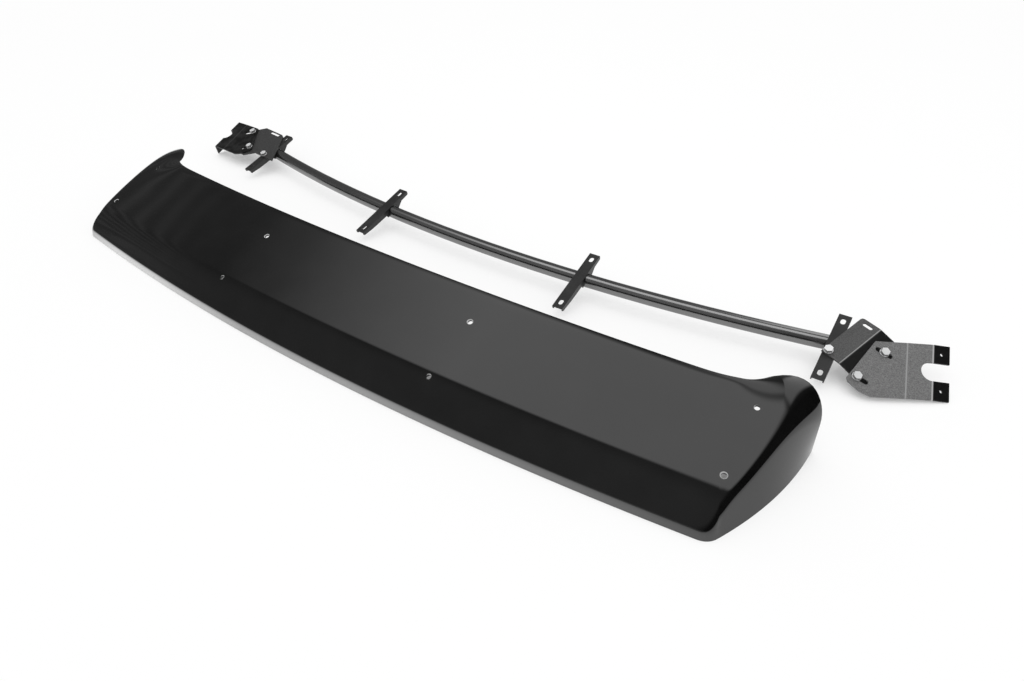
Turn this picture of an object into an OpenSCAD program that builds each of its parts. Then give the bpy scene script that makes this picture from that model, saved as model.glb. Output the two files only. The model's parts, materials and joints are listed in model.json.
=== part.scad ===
// Windscreen visor of a van with its mounting bar.
// The moulded shell and the bar lie side by side on a flat floor, as before fitting.
// Millimetres, +Z up, X along the width, -Y towards the front edge of the shell.

/* [Visor shell] */
// Width of the shell across its rear corners
shell_w = 1586; // [1500:2:1700]
// Depth of the shell from front edge to rear edge at the middle
shell_d = 221; // [205:1:240]
// Depth from the front edge at the middle back to the rear corners of the skirts
skirt_d = 302; // [285:1:320]
// Thickness of the moulded sheet
sheet = 4; // [3:0.5:5]
// Radius of the front and rear edges seen from above
edge_r = 5500; // [4500:100:8000]
// Radius of the skirts seen from above
skirt_r = 544; // [450:2:800]
// Distance over which each front corner is rounded
corner_run = 17; // [15:1:45]

/* [Visor section] */
// Height of the rear edge at the middle
rear_h = 121; // [105:1:140]
// Slope of the main panel in degrees
panel_pitch = 18.5; // [14:0.5:22]
// Radius of the gentle crown across the width
crown_r = 9000; // [7000:100:14000]
// Height of the turned-down front lip
lip_h = 15; // [10:1:22]
// Lean of the front lip in degrees
lip_draft = 10; // [4:1:16]
// Distance from the front edge back to the fold line
fold_run = 38; // [30:1:55]
// Softness of the fold
fold_soft = 14; // [6:1:20]
// Lean of the skirts in degrees, behind the front corners
skirt_draft = 18; // [8:1:20]
// Size of the rounding along the lip
lip_round = 5; // [3:0.5:7]
// Size of the rounding of the crest at the front corners
crest_round = 12; // [8:1:16]
// Size of the rounding of the crest at the rear corners
ear_round = 60; // [40:1:64]
// Width of each ear beside the rear edge
ear_w = 103; // [90:1:130]
// How far each ear reaches back past its corners
ear_reach = 33; // [15:1:40]
// Drop of the rear rim of the ears below the slope of the main panel
ear_drop = 14; // [0:1:18]
// Width of the turned-down margin along the rear edge
margin_w = 18; // [10:1:30]
// Drop of that margin
margin_drop = 1.5; // [0:0.25:3]

/* [Screw holes and straps] */
// Distance of the inner straps from the middle
inner_x = 253; // [200:1:320]
// Distance of the outer straps from the middle
outer_x = 715; // [660:1:725]
// Distance between the two holes of a strap
hole_gap = 120; // [90:1:130]
// Diameter of the screw holes in the shell
screw_hole = 8.5; // [6.5:0.1:10]
// Distance of the inner holes behind the front edge, at the middle of a pair
inner_back = 106; // [98:1:125]
// How much further back the outer pairs lie than the inner pairs
outer_back = 71; // [50:1:80]
// Turn of the straps in degrees, rear ends towards the middle
toe = 1.8; // [0:0.2:4]
// Length of a strap
strap_l = 150; // [145:1:170]
// Width of a strap
strap_w = 22; // [22:0.5:26]
// Sheet thickness of the straps
strap_t = 2; // [1.5:0.5:2]
// Depth of the strap flanges at their ends
flange_d = 8; // [6:0.5:12]
// Slope of the straps in degrees
strap_pitch = 17.3; // [14:0.1:19]
// Length of the slots in the straps
strap_slot = 13; // [11:0.5:18]
// Width of the slots in the straps
slot_w = 8.5; // [8.5:0.1:9.5]

/* [Mounting tube] */
// Outer diameter of the tube
tube_d = 26.9; // [24:0.1:28]
// Wall of the tube
tube_wall = 2; // [1.5:0.1:3]
// Radius of the bend of the tube seen from above
tube_r = 3170; // [2800:10:4500]
// Distance of the tube behind the middle of a strap, along the strap
tube_back = 20; // [14:1:26]
// Length of tube past the middle of the outer straps
tube_over = 15; // [13:1:20]

/* [Corner brackets] */
// Sheet thickness of the corner brackets and side plates
plate_t = 3; // [2:0.5:4]
// Length of a corner bracket along its fold
corner_l = 104; // [95:1:115]
// Width of the upper flange of the right corner bracket
right_w = 35; // [32:1:42]
// Width of its lower flange
right_lower = 60; // [54:1:70]
// Turn of the right corner bracket on its strap in degrees
right_turn = 21.8; // [15:0.2:28]
// Fold of the right corner bracket in degrees
right_fold = 17; // [12:0.5:24]
// Distance of the end bolt from both edges of the upper flange
bolt_edge = 8; // [8:0.5:10]
// Length of the slot in the upper flange
corner_slot = 18; // [12:1:20]
// Distance of the end bolt in front of the middle of its strap
bolt_front = 13; // [9:0.5:16]
// Width of the flange of the left corner bracket that lies on the strap
left_w = 61; // [56:1:66]
// Width of its outer flange
left_lower = 44; // [42:1:50]
// Turn of the left corner bracket on its strap in degrees
left_turn = 30; // [24:0.5:34]
// Fold of the left corner bracket in degrees
left_fold = 5; // [3:0.5:6]
// Slant of its ends in degrees
left_slant = 34; // [28:1:38]
// Length of the slot in its upper flange
left_slot = 36; // [24:1:40]

/* [Side plates] */
// Length of the upper edge of a side plate, tabs included
plate_l = 129; // [120:1:140]
// Width of a side plate
plate_w = 101; // [94:1:110]
// Slant of its fold lines in degrees
plate_slant = 12; // [0:1:16]
// Length between its two fold lines
plate_mid = 45; // [40:1:52]
// Length of the tabs
tab_l = 30; // [26:1:36]
// First fold in degrees
fold_one = 2; // [1:1:8]
// Second fold of the right side plate in degrees
right_tab_fold = 8; // [6:1:16]
// Second fold of the left side plate in degrees
left_tab_fold = 65; // [55:1:75]
// Width of the open cut-out between the tabs
notch_w = 33; // [26:1:38]
// Turn of the right side plate on its corner bracket in degrees
right_plate_turn = 50; // [46:1:58]
// Turn of the left side plate on its corner bracket in degrees
left_plate_turn = 33.5; // [30:0.5:36]
// Distance between the two slots of a side plate
slot_gap = 68.6; // [62:0.2:72]
// Length of the slots in the side plate
plate_slot = 30; // [28:1:32]
// Diameter of the screw holes in the tabs
tab_hole = 5.5; // [4:0.1:7]

/* [Fasteners] */
// Thread diameter of all bolts
bolt_d = 8; // [8:0.1:8.2]
// Width across flats of heads and nuts
bolt_af = 13; // [12:0.5:13]
// Outer diameter of the washers
washer_d = 16; // [15:0.5:17]

/* [Lie on the floor] */
// Distance from the front edge of the shell back to the middle of the inner straps
bar_back = 447.8; // [430:0.1:480]
// Sideways shift of the shell from the middle of the bar
shell_shift = -34; // [-60:1:0]

/* [Hidden] */

// Stations round the rim of one half: along the front, round the corner, along the skirt
n_front = 15;
n_corner = 6;
n_skirt = 12;
n_half = n_front + n_corner + n_skirt;
// Rows up one section: wall, crest, front half and rear half of the top
n_wall = 2;
n_crest = 6;
n_fold = 6;
n_panel = 5;
n_rows = n_wall + n_crest + n_fold + n_panel;

half_w = shell_w / 2;
fit = 0.3;
touch = 0.01;
head_h = 5.3;
nut_h = 6.5;
washer_t = 1.6;
thread_over = 4;
bore_gap = 0.1;
hole_play = 0.6;
washer_play = 0.4;
clear_hole = bolt_d + hole_play;
bend_in = 3;
ear_draft = 1;
ear_neck = 130;
ear_rise = 16;
corner_reach = 90;

// Outline of the shell from above, right half, front edge at y = 0 in the middle
function mix(a, b, t) = a + (b - a) * t;
function unit(v) = v / norm(v);
function front_y(x) = x * x / (2 * edge_r);
function skirt_x(y) = half_w - pow(skirt_d - y, 2) / (2 * skirt_r);
function meet_x(x, n) = n == 0 ? x : meet_x(skirt_x(front_y(x)), n - 1);
corner_x = meet_x(half_w, 8);
front_end = corner_x - corner_run;
skirt_start = front_y(corner_x) + corner_run * 0.9;
skirt_lean = (skirt_d - skirt_start) / skirt_r;
front_lean = front_end / edge_r;
corner_a = [front_end, front_y(front_end)];
corner_c = [skirt_x(skirt_start), skirt_start];
corner_k = (corner_c.y - corner_a.y - front_lean * (corner_c.x - corner_a.x))
  / (1 - front_lean * skirt_lean);
corner_b = corner_c - corner_k * [skirt_lean, 1];
function bezier(a, b, c, t) = a * pow(1 - t, 2) + b * 2 * t * (1 - t) + c * pow(t, 2);

// Share of the way round the corner, along the skirt and along both at station k
function corner_part(k) = min(1, max(0, (k - n_front) / n_corner));
function skirt_part(k) = max(0, (k - n_front - n_corner) / n_skirt);
function side_part(k) = max(0, (k - n_front) / (n_corner + n_skirt));

function foot(k) =
  k <= n_front ? [front_end * k / n_front, front_y(front_end * k / n_front)]
  : k <= n_front + n_corner ? bezier(corner_a, corner_b, corner_c, corner_part(k))
  : let(y = mix(skirt_start, skirt_d, skirt_part(k))) [skirt_x(y), y];

// Rear edge, with the necks that run up into the ears
neck_x = half_w - ear_w;
rear_end = neck_x - corner_reach;
function rear_y(x) = shell_d + front_y(x)
  + ear_rise * pow(max(0, x - neck_x + ear_neck) / ear_neck, 6);
function rear(k) =
  let(x = k <= n_front ? rear_end * k / n_front : mix(rear_end, neck_x, side_part(k)))
  [x, rear_y(x)];

// Line in plan from the foot to the rear edge at station k, s from 0 to 1
function plan(k, s) =
  mix(foot(k), rear(k), s) + [0, 4 * s * (1 - s) * ear_reach * pow(side_part(k), 4)];
function reach(k) = norm(rear(k) - foot(k));

// Height of the top surface: main panel, steep front strip and the soft fold between
function panel_z(x, y) = rear_h + (y - shell_d) * tan(panel_pitch) - x * x / (2 * crown_r);
lip_in = lip_h * tan(lip_draft);
function strip_z(x, y) =
  let(h = panel_z(x, fold_run + front_y(x)))
  lip_h + (y - front_y(x) - lip_in) * (h - lip_h) / (fold_run - lip_in);
function soft_min(a, b, k) = min(a, b) - pow(max(k - abs(a - b), 0), 2) / (4 * k);
function top_z(p) = soft_min(panel_z(p.x, p.y), strip_z(p.x, p.y), fold_soft);
drop_early = 5.4;
drop_late = 4.6;
function skin_z(k, s) =
  top_z(plan(k, s)) - ear_drop * pow(side_part(k), 6) * s * s * (drop_early - drop_late * s);

// Lean and rounding of the rim at station k
function lean(k) =
  let(v = skirt_part(k))
  mix(mix(lip_draft, skirt_draft, corner_part(k)), ear_draft, pow(v, 3));
function round_of(k) =
  let(v = skirt_part(k))
  mix(mix(lip_round, crest_round, corner_part(k)), ear_round, pow(v, 4));
function inward(k) =
  let(a = foot(max(0, k - 1)), b = foot(min(n_half, k + 1)), d = unit(b - a))
  max(0.6, unit(rear(k) - foot(k)) * [-d.y, d.x]);
function crest_at(k, l, n) =
  n == 0 ? l
  : crest_at(k, skin_z(k, l / reach(k)) * tan(lean(k)) / inward(k), n - 1);

// One section of the outer face at station k, from the floor to the rear edge
crest_share = 0.8;
crest_spread = 1.4;
fold_over = 16;
function at(k, l, z) = let(p = plan(k, l / reach(k))) [p.x, p.y, z];
function section(k) =
  let(
    len = reach(k),
    slope = tan(lean(k)) / inward(k),
    lc = crest_at(k, lip_in, 8),
    zc = skin_z(k, lc / len),
    r = round_of(k),
    za = zc - min(r, crest_share * zc) * cos(lean(k)),
    lb = lc + r * mix(1, crest_spread, pow(skirt_part(k), 2)),
    a = [za * slope, za],
    b = [lb, skin_z(k, lb / len)],
    c = [lc, zc],
    lf = max(lb + (len - lb) * 0.3, min(fold_run + fold_over, len / 2))
  )
  [
    for (j = [0 : n_wall - 1]) at(k, a[0] * j / n_wall, za * j / n_wall),
    for (j = [0 : n_crest - 1]) let(q = bezier(a, c, b, j / n_crest)) at(k, q[0], q[1]),
    for (j = [0 : n_fold - 1])
      let(l = mix(lb, lf, j / n_fold)) at(k, l, skin_z(k, l / len)),
    for (j = [0 : n_panel])
      let(
        l = mix(lf, len, j / n_panel),
        m = max(0, 1 - (len - l) / margin_w) * (1 - pow(side_part(k), 4))
      )
      at(k, l, skin_z(k, l / len) - margin_drop * m * m)
  ];

half_shell = [for (k = [0 : n_half]) section(k)];
outer_face = [
  for (i = [-n_half : n_half])
    [for (p = half_shell[abs(i)]) [p.x * sign(i), p.y, p.z]]
];
n_i = len(outer_face) - 1;
n_j = n_rows;
function face_normal(i, j) =
  let(
    du = outer_face[min(n_i, i + 1)][j] - outer_face[max(0, i - 1)][j],
    dv = outer_face[i][min(n_j, j + 1)] - outer_face[i][max(0, j - 1)]
  )
  unit(cross(du, dv));
inner_face = [
  for (i = [0 : n_i])
    [
      for (j = [0 : n_j])
        let(p = outer_face[i][j] - sheet * face_normal(i, j))
        j == 0 ? [p.x, p.y, 0] : p
    ]
];

module shell_skin() {
  row = n_j + 1;
  inner = (n_i + 1) * row;
  function o(i, j) = i * row + j;
  function n(i, j) = inner + i * row + j;
  points = [for (line = concat(outer_face, inner_face)) for (p = line) p];
  faces = [
    for (i = [0 : n_i - 1], j = [0 : n_j - 1])
      each [
        [o(i, j), o(i, j + 1), o(i + 1, j + 1)], [o(i, j), o(i + 1, j + 1), o(i + 1, j)],
        [n(i, j), n(i + 1, j + 1), n(i, j + 1)], [n(i, j), n(i + 1, j), n(i + 1, j + 1)]
      ],
    for (i = [0 : n_i - 1])
      each [
        [o(i, 0), o(i + 1, 0), n(i + 1, 0)], [o(i, 0), n(i + 1, 0), n(i, 0)],
        [o(i, n_j), n(i + 1, n_j), o(i + 1, n_j)], [o(i, n_j), n(i, n_j), n(i + 1, n_j)]
      ],
    for (j = [0 : n_j - 1])
      each [
        [o(0, j), n(0, j + 1), o(0, j + 1)], [o(0, j), n(0, j), n(0, j + 1)],
        [o(n_i, j), o(n_i, j + 1), n(n_i, j + 1)], [o(n_i, j), n(n_i, j + 1), n(n_i, j)]
      ]
  ];
  polyhedron(points = points, faces = faces, convexity = 8);
}

// Middle of each pair of screw holes, in the frame of the shell
pair_x = [-outer_x, -inner_x, inner_x, outer_x];
pair_y = [inner_back + outer_back, inner_back, inner_back, inner_back + outer_back];
module screw_holes() {
  for (i = [0 : 3])
    translate([pair_x[i], pair_y[i], panel_z(pair_x[i], pair_y[i])])
      rotate([0, 0, toe * sign(pair_x[i])])
        rotate([panel_pitch, 0, 0])
          for (s = [-1, 1])
            translate([0, s * hole_gap / 2, 0])
              cylinder(d = screw_hole, h = 8 * sheet, center = true, $fn = 48);
}

module visor_shell() {
  color([0.02, 0.02, 0.022])
    translate([bar_x + shell_shift, shell_y, 0])
      difference() {
        shell_skin();
        screw_holes();
      }
}

// Frames of the bar: turns of a point about the axes
function turn_x(a, p) = [p.x, p.y * cos(a) - p.z * sin(a), p.y * sin(a) + p.z * cos(a)];
function turn_y(a, p) = [p.x * cos(a) + p.z * sin(a), p.y, p.z * cos(a) - p.x * sin(a)];
function turn_z(a, p) = [p.x * cos(a) - p.y * sin(a), p.x * sin(a) + p.y * cos(a), p.z];
function pick(side, left, right) = side < 0 ? left : right;

// Straps: x across, y along the slope, z = 0 on the upper face
strap_y = [outer_back, 0, 0, outer_back];
nut_play = strap_w / 2 - strap_t - bolt_af / 2 - fit / 2;
function end_at(side) = [-side * nut_play, -bolt_front, 0];
function on_strap(p) =
  turn_z(toe, turn_x(strap_pitch, p)) + [outer_x, outer_back, 0];

// Corner brackets: x outwards, y along the fold, origin on the end bolt.
// The right one lies on its narrow flange, the left one on its wide flange.
bend_out = bend_in + plate_t;
function turn_of(side) = pick(side, left_turn, right_turn);
function fold_of(side) = pick(side, left_fold, right_fold);
function fold_x(side) = pick(side, left_w / 2, right_w - bolt_edge);
function lower_of(side) = pick(side, left_lower, right_lower);
function flange_front(side) = pick(side, fold_x(-1) * tan(left_slant), 0) - bolt_edge;
function flange_point(side, p) =
  turn_y(fold_of(side), p + [0, 0, bend_out]) + [fold_x(side), 0, plate_t - bend_out];
function corner_point(side, p) =
  on_strap(turn_z(-turn_of(side), flange_point(side, p)) + end_at(side));

// Side plates: x along the upper edge, y across, origin in the middle of the rear slot
plate_top = 21;
plate_left = -11;
plate_low = plate_top - plate_w;
slant = tan(plate_slant);
line_one = plate_left + plate_l - tab_l - plate_mid;
line_two = line_one + plate_mid;
n_arc = 6;
slot_lean = -34;
slot_dir = [cos(slot_lean), sin(slot_lean), 0];
slot_line = -134.4;
front_slot = slot_gap * [cos(slot_line), sin(slot_line), 0];
// Place of each plate on its bracket, and of its bolts along the slots
left_plate_x = 45;
left_plate_y = 105;
right_plate_x = 32.5;
right_plate_y = 64.5;
left_slide = -10;
right_slide = -6;
function plate_turn(side) = pick(side, left_plate_turn, right_plate_turn);
function tab_fold(side) = pick(side, left_tab_fold, right_tab_fold);
function plate_at(side) =
  [pick(side, left_plate_x, right_plate_x), pick(side, left_plate_y, right_plate_y), 0];
function rear_hole(side) = slot_dir * pick(side, left_slide, 0);
function front_hole(side) = front_slot + slot_dir * pick(side, left_slide, right_slide);
function on_plate(side, p) = turn_z(plate_turn(side), p) + plate_at(side);
function edge_x(x, y) = x - (plate_top - y) * slant;

// Section of a side plate across its folds: first fold at [0, 0] on the upper face
function down(a) = [cos(a), -sin(a)];
function up(a) = [sin(a), cos(a)];
function tab_slope(side) = fold_one + tab_fold(side);
fold_b = plate_mid * cos(plate_slant) * down(fold_one);
function tab_tip(side) = fold_b + tab_l * cos(plate_slant) * down(tab_slope(side));
function bend_arc(v, a, b, r, back) =
  let(c = v - bend_out * tan((b - a) / 2) * down(a) - bend_out * up(a))
  [for (i = [0 : n_arc]) c + r * up(mix(a, b, (back ? n_arc - i : i) / n_arc))];
function plate_section(side) =
  let(a = fold_one, b = tab_slope(side), tip = tab_tip(side))
  concat(
    [[-2 * plate_l, 0]],
    bend_arc([0, 0], 0, a, bend_out, false), bend_arc(fold_b, a, b, bend_out, false),
    [tip, tip - plate_t * up(b)],
    bend_arc(fold_b, a, b, bend_in, true), bend_arc([0, 0], 0, a, bend_in, true),
    [[-2 * plate_l, -plate_t]]
  );
// Point of the plate at height y of the plate, from a point of the section
function from_section(p, y) =
  let(along = (plate_top - y - p.x * sin(plate_slant)) / cos(plate_slant))
  [
    line_one + p.x * cos(plate_slant) - along * sin(plate_slant),
    y,
    plate_t + p.y
  ];

// The bar lies on the tabs of its side plates
function tab_points(side) = [
  for (p = [tab_tip(side), tab_tip(side) - plate_t * up(tab_slope(side)), fold_b])
    for (y = [plate_low, plate_top])
      corner_point(side, on_plate(side, from_section(p, y)))
];
left_points = tab_points(-1);
right_points = tab_points(1);
bar_points = concat(left_points, right_points);
strap_z = -min([for (p = bar_points) p.z]);
bar_rear = max([for (p = bar_points) p.y]);
bar_x = (max([for (p = left_points) p.x]) - max([for (p = right_points) p.x])) / 2;
shell_y = -(bar_back + bar_rear) / 2;
bar_y = shell_y + bar_back;

// Tube, placed so that it lies under the straps
tube_drop = strap_t + tube_d / 2 + fit;
tube_sag = tube_r - sqrt(pow(tube_r, 2) - pow(outer_x, 2));
tube_y = outer_back + tube_back * cos(strap_pitch) + tube_drop * sin(strap_pitch) - tube_sag;
tube_z = tube_back * sin(strap_pitch) - tube_drop * cos(strap_pitch);
tube_half = asin((outer_x + tube_over) / tube_r);

module on_bar() {
  translate([bar_x, bar_y, strap_z]) children();
}

// Length of bent rod on the line of the tube, half degrees each way from the middle x
module along_tube(d, x, half) {
  translate([0, tube_y + tube_r, tube_z])
    rotate([0, 0, -90 + asin(x / tube_r) - half])
      rotate_extrude(angle = 2 * half, $fn = 360)
        translate([tube_r, 0])
          circle(d = d, $fn = 48);
}

module mounting_tube() {
  color([0.03, 0.03, 0.03])
    on_bar()
      difference() {
        along_tube(tube_d, 0, tube_half);
        along_tube(tube_d - 2 * tube_wall, 0, tube_half + 1);
      }
}

module place_strap(i) {
  translate([pair_x[i], strap_y[i], 0])
    rotate([0, 0, toe * sign(pair_x[i])])
      rotate([strap_pitch, 0, 0])
        children();
}

module slot(l, w, h) {
  for (s = [-1, 1])
    translate([s * (l - w) / 2, 0, 0])
      cylinder(d = w, h = h, center = true, $fn = 48);
  cube([l - w, w, h], center = true);
}

// Side view of a strap with the saddle over the tube
strap_chamfer = 2;
saddle_side = 4.5;
saddle_deep = 3;
saddle_rise = 3;
front_rise = 30;
rear_rise = 14;
front_belly = 3;
rear_belly = 1;
module strap_side() {
  half = strap_l / 2;
  saddle = tube_drop + saddle_deep;
  tongue = tube_d / 2 + saddle_side;
  polygon([
    [-half, 0], [half, 0], [half, strap_chamfer - flange_d],
    [half - strap_chamfer, -flange_d],
    [tube_back + tongue + rear_rise, -flange_d - rear_belly],
    [tube_back + tongue, -saddle], [tube_back - tongue, -saddle],
    [tube_back - tongue - saddle_rise, -flange_d - front_belly - 1],
    [front_rise - half, -flange_d - front_belly],
    [strap_chamfer - half, -flange_d], [-half, strap_chamfer - flange_d]
  ]);
}

module strap(i) {
  color([0.035, 0.035, 0.035])
    on_bar()
      difference() {
        place_strap(i)
          difference() {
            rotate([90, 0, 90])
              linear_extrude(height = strap_w, center = true) strap_side();
            translate([0, 0, -strap_l / 2 - strap_t])
              cube([strap_w - 2 * strap_t, strap_l + 10, strap_l], center = true);
            for (s = [-1, 1])
              translate([0, s * hole_gap / 2, 0])
                rotate([0, 0, 90]) slot(strap_slot, slot_w, 4 * strap_t);
            if (abs(pair_x[i]) == outer_x)
              translate([-nut_play, -bolt_front, 0])
                cylinder(d = clear_hole, h = 4 * strap_t, center = true, $fn = 48);
          }
        along_tube(tube_d + 2 * fit, pair_x[i], asin(strap_w / tube_r));
      }
}

// One end of the bar; the left end is placed as a mirror image
module place_end(side) {
  on_bar()
    mirror([side < 0 ? 1 : 0, 0, 0])
      place_strap(3)
        translate(end_at(side))
          children();
}

module place_corner(side) {
  place_end(side) rotate([0, 0, -turn_of(side)]) children();
}

module on_flange(side) {
  translate([fold_x(side), 0, plate_t - bend_out])
    rotate([0, fold_of(side), 0])
      translate([0, 0, bend_out])
        children();
}

// Section of a corner bracket across its fold, and its outline from above
function bracket_section(side) =
  let(
    a = fold_of(side),
    run = bend_out * tan(a / 2),
    v = [fold_x(side) + run, plate_t],
    tip = v + (run + lower_of(side)) * down(a)
  )
  concat(
    [[-left_w, plate_t]], bend_arc(v, 0, a, bend_out, false),
    [tip, tip - plate_t * up(a)],
    bend_arc(v, 0, a, bend_in, true), [[-left_w, 0]]
  );
outer_chamfer = 9;
inner_chamfer = 5;
module bracket_outline(side) {
  x0 = pick(side, -left_w / 2, -bolt_edge);
  x1 = fold_x(side);
  x2 = x1 + lower_of(side) + 1;
  y1 = flange_front(side);
  end_slope = pick(side, tan(left_slant), 0);
  y0 = y1 - (x1 - x0) * end_slope;
  y2 = y1 + corner_l;
  y3 = y0 + corner_l;
  polygon([
    [x0, y0], [x1, y1], [x2 - outer_chamfer, y1], [x2, y1 + outer_chamfer],
    [x2, y2 - outer_chamfer], [x2 - outer_chamfer, y2], [x1, y2],
    [x0 + inner_chamfer, y3 + inner_chamfer * end_slope],
    [x0 + 0.3 * inner_chamfer, y3 - 0.3 * inner_chamfer], [x0, y3 - inner_chamfer]
  ]);
}

// Slot for the vehicle near the far end of the flange that lies on the strap
bracket_slot_w = 7;
bracket_slot_end = 18;
left_slot_x = -3;
right_slot_x = fold_x(1) - right_w / 2 + 1;

module bracket_sheet(side) {
  intersection() {
    translate([0, 0, -corner_l]) linear_extrude(height = 2 * corner_l) bracket_outline(side);
    rotate([90, 0, 0])
      translate([0, 0, -2 * corner_l])
        linear_extrude(height = 4 * corner_l) polygon(bracket_section(side));
  }
}

module corner_bracket(side) {
  color([0.04, 0.04, 0.04])
    place_corner(side)
      difference() {
        bracket_sheet(side);
        cylinder(d = clear_hole, h = 4 * plate_t, center = true, $fn = 48);
        translate([pick(side, left_slot_x, right_slot_x), corner_l - bracket_slot_end, 0])
          rotate([0, 0, pick(side, left_slant, 0)])
            slot(pick(side, left_slot, corner_slot), bracket_slot_w, 4 * plate_t);
        on_flange(side)
          for (p = [rear_hole(side), front_hole(side)])
            translate(on_plate(side, p))
              cylinder(d = clear_hole, h = 4 * plate_t, center = true, $fn = 48);
      }
}

module place_plate(side) {
  place_corner(side)
    on_flange(side)
      translate(plate_at(side))
        rotate([0, 0, plate_turn(side)])
          children();
}

// Outline of a side plate seen square to its flat part, left open past the tabs
low_run = 56;
low_chamfer = 17;
first_rise = 8;
second_rise = 25;
third_rise = 32;
module plate_outline() {
  low_x = line_one - plate_w * slant - low_run;
  polygon([
    [plate_left, plate_top], [plate_l, plate_top], [plate_l, plate_low],
    [low_x, plate_low], [low_x - low_chamfer, plate_low + first_rise],
    [low_x - 2 * low_chamfer, plate_low + second_rise],
    [low_x - 2 * low_chamfer - 1, plate_low + third_rise]
  ]);
}

module plate_sheet(side) {
  intersection() {
    translate([0, 0, -2 * tab_l]) linear_extrude(height = 3 * tab_l) plate_outline();
    translate([line_one, plate_top, plate_t])
      rotate([0, 0, -plate_slant])
        rotate([90, 0, 0])
          translate([0, 0, -plate_l])
            linear_extrude(height = 3 * plate_l) polygon(plate_section(side));
  }
}

notch_over = 13;
tab_hole_at = 0.17;
module side_plate(side) {
  notch_y = plate_top - plate_w / 2;
  notch_x = edge_x(line_two, notch_y) - notch_w / 2 + notch_over;
  mid_tab = (fold_b + tab_tip(side)) / 2;
  color([0.10, 0.10, 0.10])
    place_plate(side)
      difference() {
        plate_sheet(side);
        for (p = [[0, 0, 0], front_slot])
          translate(p)
            rotate([0, 0, slot_lean]) slot(plate_slot, slot_w, 4 * plate_t);
        translate([notch_x, notch_y, -2 * tab_l]) {
          cylinder(d = notch_w, h = 3 * tab_l, $fn = 64);
          translate([0, -notch_w / 2, 0]) cube([plate_l, notch_w, 3 * tab_l]);
        }
        for (y = [plate_top - tab_hole_at * plate_w, plate_low + tab_hole_at * plate_w])
          translate(from_section(mid_tab, y))
            rotate([0, 0, -plate_slant])
              rotate([0, tab_slope(side), 0])
                cylinder(d = tab_hole, h = 4 * plate_t, center = true, $fn = 48);
      }
}

// Fasteners, each drawn with its clamped face at z = 0
module hex_bolt(grip) {
  cylinder(d = bolt_af / cos(30), h = head_h, $fn = 6);
  translate([0, 0, -grip]) cylinder(d = bolt_d, h = grip + touch, $fn = 48);
}

module washer() {
  difference() {
    cylinder(d = washer_d, h = washer_t, $fn = 64);
    translate([0, 0, -1]) cylinder(d = bolt_d + washer_play, h = washer_t + 2, $fn = 48);
  }
}

module nut() {
  difference() {
    cylinder(d = bolt_af / cos(30), h = nut_h, $fn = 6);
    translate([0, 0, -1]) cylinder(d = bolt_d + 2 * bore_gap, h = nut_h + 2, $fn = 48);
  }
}

end_grip = washer_t + plate_t + strap_t + nut_h + thread_over;
plate_grip = washer_t + 2 * plate_t + nut_h + thread_over;
function hole_of(side, rear) = rear ? rear_hole(side) : front_hole(side);

module end_bolt(side) {
  color([0.75, 0.75, 0.74])
    place_end(side)
      translate([0, 0, plate_t + washer_t])
        rotate([0, 0, 30]) hex_bolt(end_grip);
}

module end_washer(side) {
  color([0.7, 0.7, 0.7]) place_end(side) translate([0, 0, plate_t]) washer();
}

module end_nut(side) {
  color([0.75, 0.75, 0.74])
    place_end(side)
      translate([0, 0, -strap_t - nut_h])
        rotate([0, 0, 30]) nut();
}

module plate_bolt(side, rear) {
  color([0.75, 0.75, 0.74])
    place_plate(side)
      translate(hole_of(side, rear) + [0, 0, plate_t + washer_t]) hex_bolt(plate_grip);
}

module plate_washer(side, rear) {
  color([0.7, 0.7, 0.7])
    place_plate(side) translate(hole_of(side, rear) + [0, 0, plate_t]) washer();
}

module plate_nut(side, rear) {
  color([0.75, 0.75, 0.74])
    place_plate(side) translate(hole_of(side, rear) - [0, 0, plate_t + nut_h]) nut();
}

visor_shell();
mounting_tube();
strap(0);  // left_outer_strap
strap(1);  // left_inner_strap
strap(2);  // right_inner_strap
strap(3);  // right_outer_strap
corner_bracket(-1);  // left_corner_bracket
corner_bracket(1);  // right_corner_bracket
side_plate(-1);  // left_side_plate
side_plate(1);  // right_side_plate
end_bolt(-1);  // left_end_bolt
end_bolt(1);  // right_end_bolt
end_washer(-1);  // left_end_washer
end_washer(1);  // right_end_washer
end_nut(-1);  // left_end_nut
end_nut(1);  // right_end_nut
plate_bolt(-1, false);  // left_front_plate_bolt
plate_bolt(1, false);  // right_front_plate_bolt
plate_bolt(-1, true);  // left_rear_plate_bolt
plate_bolt(1, true);  // right_rear_plate_bolt
plate_washer(-1, false);  // left_front_plate_washer
plate_washer(1, false);  // right_front_plate_washer
plate_washer(-1, true);  // left_rear_plate_washer
plate_washer(1, true);  // right_rear_plate_washer
plate_nut(-1, false);  // left_front_plate_nut
plate_nut(1, false);  // right_front_plate_nut
plate_nut(-1, true);  // left_rear_plate_nut
plate_nut(1, true);  // right_rear_plate_nut
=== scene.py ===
import bpy
import json
import math
from mathutils import Matrix, Vector


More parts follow.
